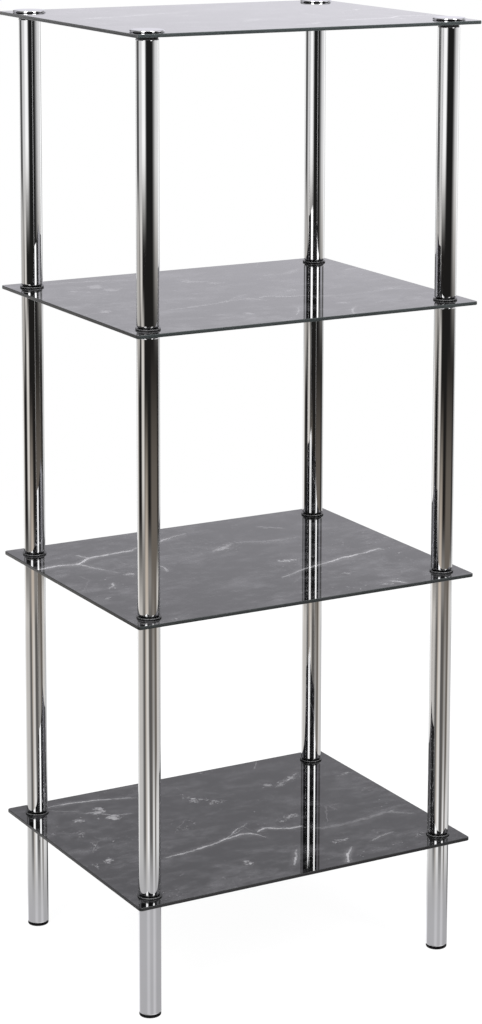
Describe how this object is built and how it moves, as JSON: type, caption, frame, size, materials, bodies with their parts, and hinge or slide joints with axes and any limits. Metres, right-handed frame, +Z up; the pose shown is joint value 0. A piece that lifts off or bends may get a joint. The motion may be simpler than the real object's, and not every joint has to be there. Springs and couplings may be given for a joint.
{
  "type": "etagere",
  "caption": "Tall free-standing open etagere: rectangular dark marble-look glass shelves on round chrome tube posts screwed together through the glass corners, on short tube legs.",
  "frame": {"origin": "centre of the footprint, on the floor", "axes": "+X along the long side of the shelves, to the right seen from the front; +Y to the back; +Z up"},
  "size_m": [0.44, 0.36, 1.1195],
  "materials": {
    "marble_glass": "polished glass over an opaque near-black marble-look print with thin white veins, ground edges",
    "chrome": "polished chrome plate",
    "washer_rubber": "dark grey, semi-gloss, with a paler band round the rim",
    "pad_vinyl": "milky soft vinyl, satin",
    "glide_plastic": "black, fine matt",
    "fitting_steel": "bright zinc plate"
  },
  "bodies": {
    "root": {"cap_screw_back_left": "chrome", "cap_screw_back_right": "chrome", "cap_screw_front_left": "chrome", "cap_screw_front_right": "chrome", "foot_glide_back_left": "glide_plastic", "foot_glide_back_right": "glide_plastic", "foot_glide_front_left": "glide_plastic", "foot_glide_front_right": "glide_plastic", "inserts_leg_top": "fitting_steel", "inserts_post_lower_bottom": "fitting_steel", "inserts_post_lower_top": "fitting_steel", "inserts_post_middle_bottom": "fitting_steel", "inserts_post_middle_top": "fitting_steel", "inserts_post_upper_bottom": "fitting_steel", "inserts_post_upper_top": "fitting_steel", "leg_back_left": "chrome", "leg_back_right": "chrome", "leg_front_left": "chrome", "leg_front_right": "chrome", "pads_under_caps": "pad_vinyl", "post_lower_back_left": "chrome", "post_lower_back_right": "chrome", "post_lower_front_left": "chrome", "post_lower_front_right": "chrome", "post_middle_back_left": "chrome", "post_middle_back_right": "chrome", "post_middle_front_left": "chrome", "post_middle_front_right": "chrome", "post_upper_back_left": "chrome", "post_upper_back_right": "chrome", "post_upper_front_left": "chrome", "post_upper_front_right": "chrome", "shelf_bottom": "marble_glass", "shelf_lower": "marble_glass", "shelf_top": "marble_glass", "shelf_upper": "marble_glass", "studs_shelf_bottom": "fitting_steel", "studs_shelf_lower": "fitting_steel", "studs_shelf_upper": "fitting_steel", "washers_on_shelf_bottom": "washer_rubber", "washers_on_shelf_lower": "washer_rubber", "washers_on_shelf_upper": "washer_rubber", "washers_under_shelf_bottom": "washer_rubber", "washers_under_shelf_lower": "washer_rubber", "washers_under_shelf_top": "washer_rubber", "washers_under_shelf_upper": "washer_rubber"}
  },
  "joints": []
}
